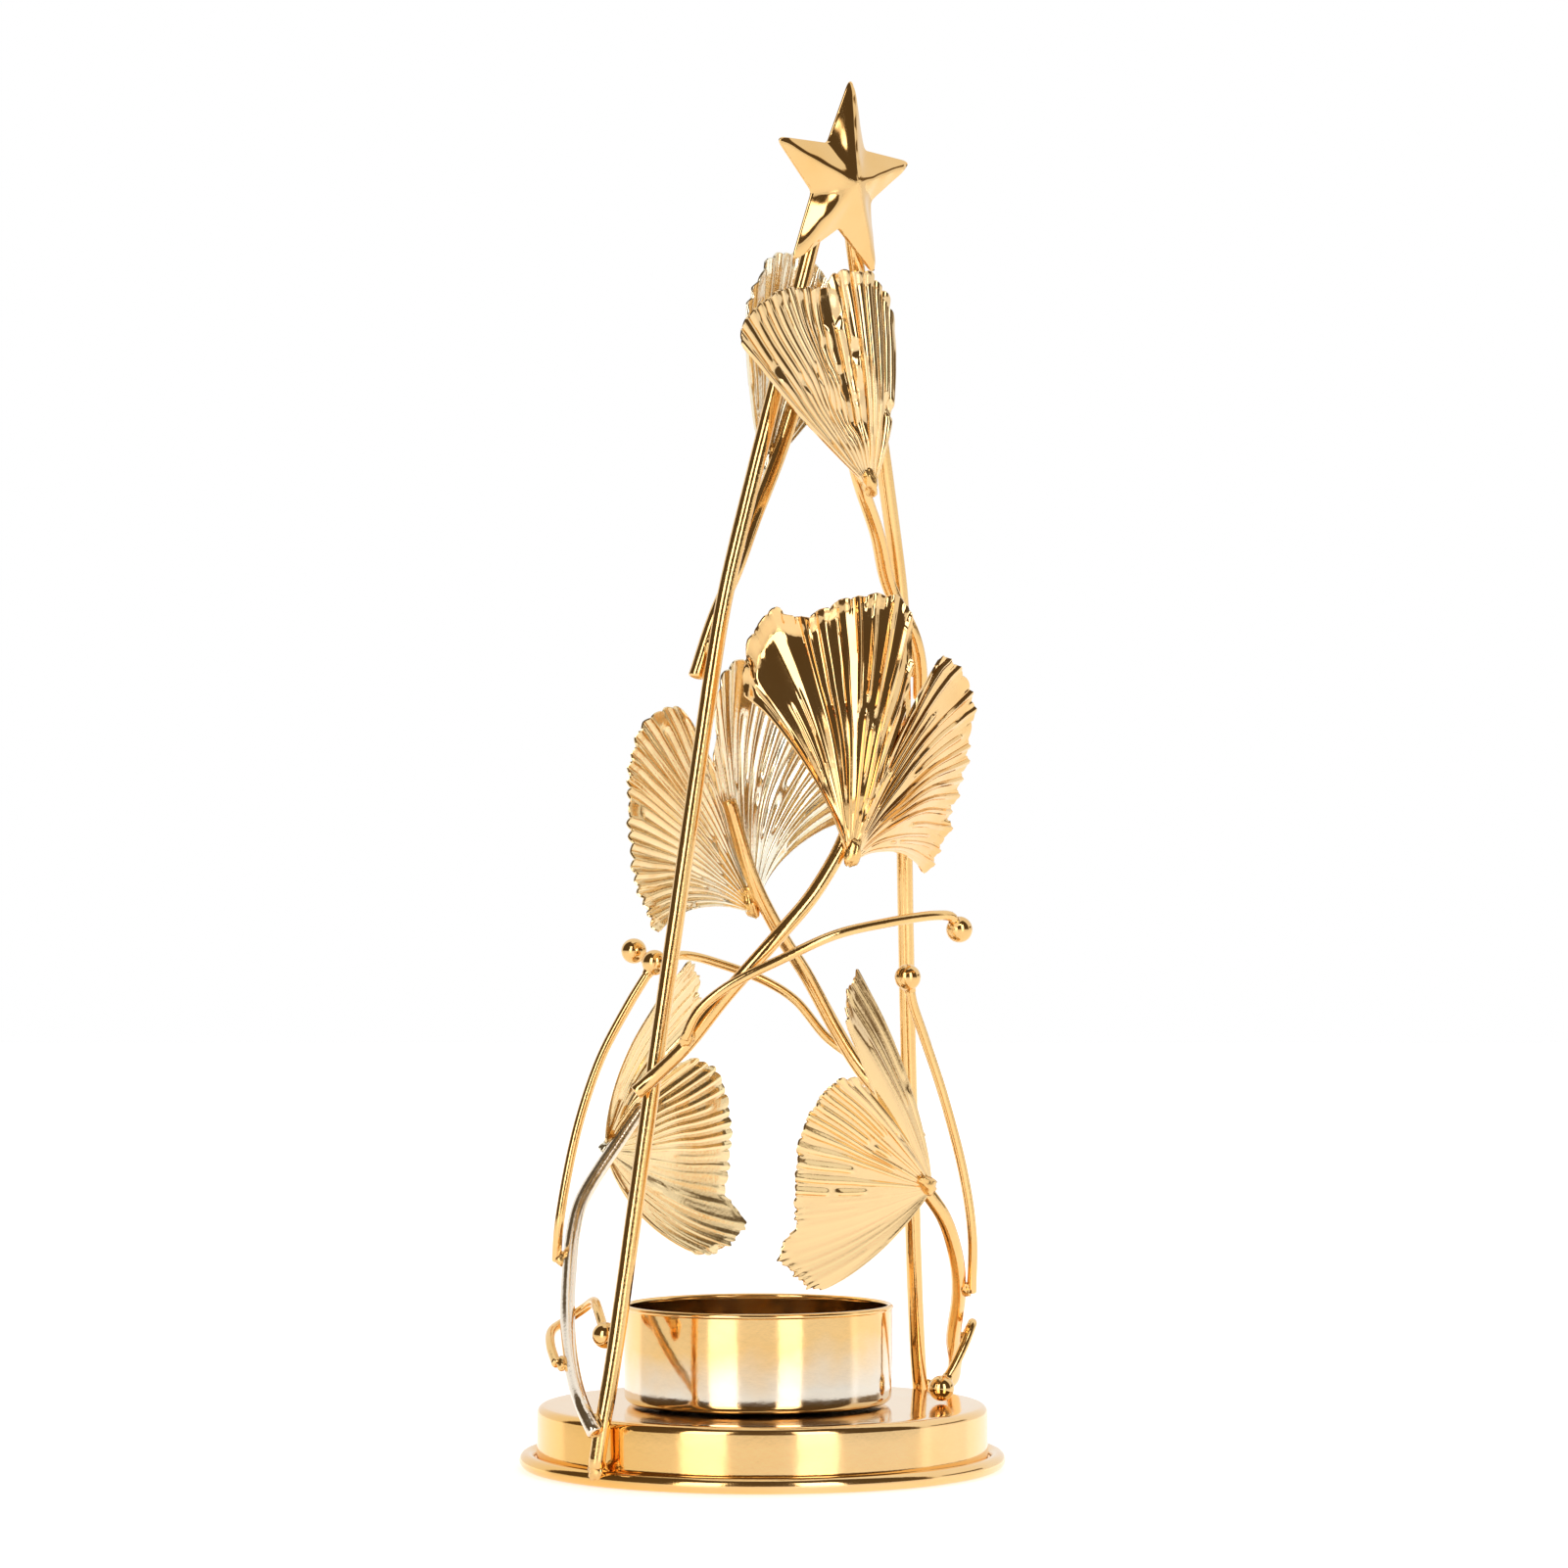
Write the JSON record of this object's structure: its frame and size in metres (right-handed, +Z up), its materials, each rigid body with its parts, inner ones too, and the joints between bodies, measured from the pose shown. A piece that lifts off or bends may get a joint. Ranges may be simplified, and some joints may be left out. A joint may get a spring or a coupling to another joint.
{
  "type": "christmas tree candle holder",
  "caption": "Tealight holder: round dish base with an open cup under a tree of bent wire, pleated fan leaves, bead-tipped twigs and a faceted star on top.",
  "frame": {"origin": "centre of the foot ring, on the surface the holder stands on", "axes": "+Z up through the candle cup; -Y towards the side seen in the picture; +X to the right of it"},
  "size_m": [0.0754, 0.0754, 0.2127],
  "materials": {
    "gold_plate": "polished yellow gold plating over steel",
    "pale_gold_plate": "bright pale champagne gold plating over pressed steel",
    "silvery_gold_plate": "thin gold plating that fades to silver"
  },
  "bodies": {
    "root": {"base_dish": "gold_plate", "base_ring": "gold_plate", "candle_cup": "silvery_gold_plate", "rod_front_left": "gold_plate", "rod_back_right": "gold_plate", "leaf_top_front": "gold_plate", "leaf_top_back": "pale_gold_plate", "leaf_middle_front": "gold_plate", "leaf_middle_back": "pale_gold_plate", "leaf_lower_right": "pale_gold_plate", "leaf_lower_left": "pale_gold_plate", "leaf_stem_top_front": "gold_plate", "leaf_stem_top_back": "gold_plate", "leaf_stem_middle_front": "gold_plate", "leaf_stem_middle_back": "gold_plate", "leaf_stem_lower_right": "gold_plate", "leaf_stem_lower_left": "silvery_gold_plate", "twig_outer_left": "gold_plate", "bead_outer_left": "gold_plate", "twig_outer_right": "gold_plate", "bead_outer_right": "gold_plate", "twig_hook_left": "gold_plate", "bead_hook_left": "gold_plate", "twig_hook_right": "gold_plate", "bead_hook_right": "gold_plate", "twig_middle_front": "gold_plate", "bead_middle_front": "gold_plate", "twig_middle_back": "gold_plate", "bead_middle_back": "gold_plate", "star_topper": "gold_plate"}
  },
  "joints": []
}
